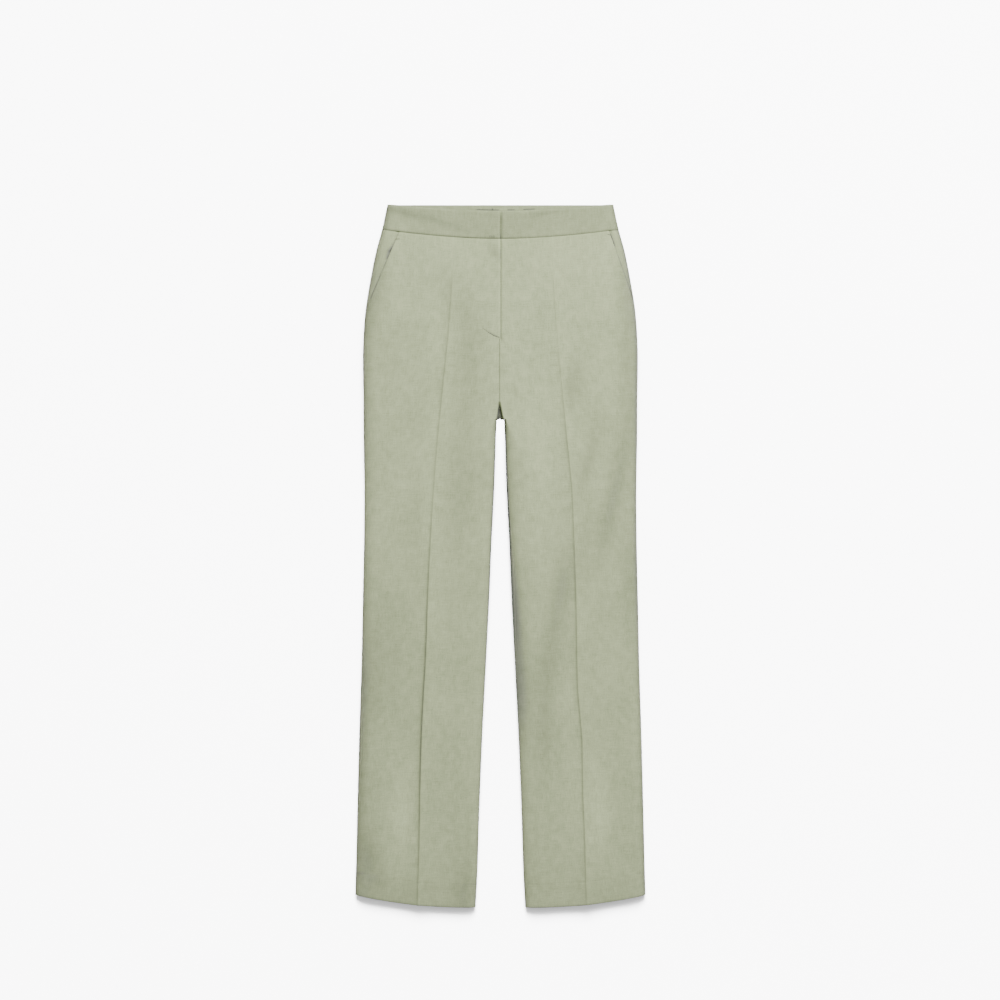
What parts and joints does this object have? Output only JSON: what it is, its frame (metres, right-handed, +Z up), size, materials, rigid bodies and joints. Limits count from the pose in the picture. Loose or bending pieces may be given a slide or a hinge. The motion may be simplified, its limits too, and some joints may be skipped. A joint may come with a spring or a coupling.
{
  "type": "tailored straight-leg trousers",
  "caption": "Sage linen-look trousers laid flat, front up: shaped waistband, hidden fly, slanted pockets and pressed front creases.",
  "frame": {"origin": "middle of the garment's bounding box, on the surface that it lies on", "axes": "+Y towards the waist, +Z up out of the front, +X towards the wearer's left leg"},
  "size_m": [0.4354, 1.053, 0.0288],
  "materials": {
    "cloth": "matt linen-look plain weave, sage green",
    "facing": "matt plain weave, slightly greyer sage",
    "zip": "matt woven tape with a closed coil",
    "metal": "plain bright"
  },
  "bodies": {
    "root": {"front_right": "cloth", "front_left": "cloth", "back_right": "cloth", "back_left": "cloth", "pocket_side_right": "cloth", "pocket_side_left": "cloth", "waistband_front_right": "cloth", "waistband_front_left": "cloth", "waistband_back": "cloth", "waistband_facing": "facing", "fly_underlap": "cloth", "zip_tape": "zip", "zip_slider": "metal", "waist_hook": "metal"}
  },
  "joints": []
}
